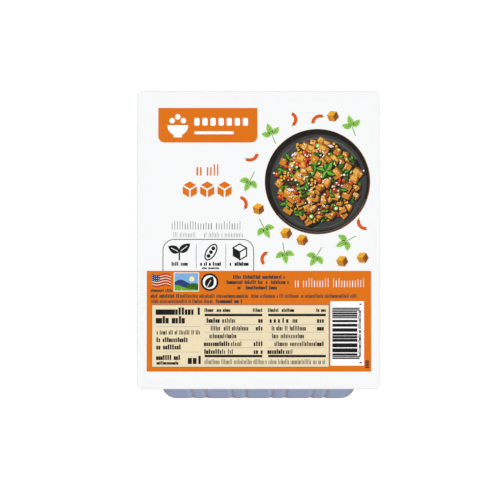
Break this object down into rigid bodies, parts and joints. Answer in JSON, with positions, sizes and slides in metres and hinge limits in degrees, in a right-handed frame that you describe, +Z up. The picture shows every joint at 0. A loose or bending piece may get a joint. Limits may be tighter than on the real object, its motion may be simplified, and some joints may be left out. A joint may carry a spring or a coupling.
{
  "type": "sealed tofu tray pack",
  "caption": "Shut tray pack of tofu: a fluted, thermoformed plastic tray with rounded corners and a narrow flange, closed all over by a flat, printed, heat-sealed film.",
  "frame": {"origin": "on the plane that the pack rests on, under the middle of its outline", "axes": "+Z up out of the printed film, +Y towards the head of the print, +X to the right as the print is read"},
  "size_m": [0.116, 0.1494, 0.0437],
  "materials": {
    "tray_plastic": "pale blue-grey moulded plastic, soft gloss",
    "lidding_film": "opaque white printed film, satin"
  },
  "bodies": {
    "root": {"tray": "tray_plastic", "lid_film": "lidding_film"}
  },
  "joints": []
}
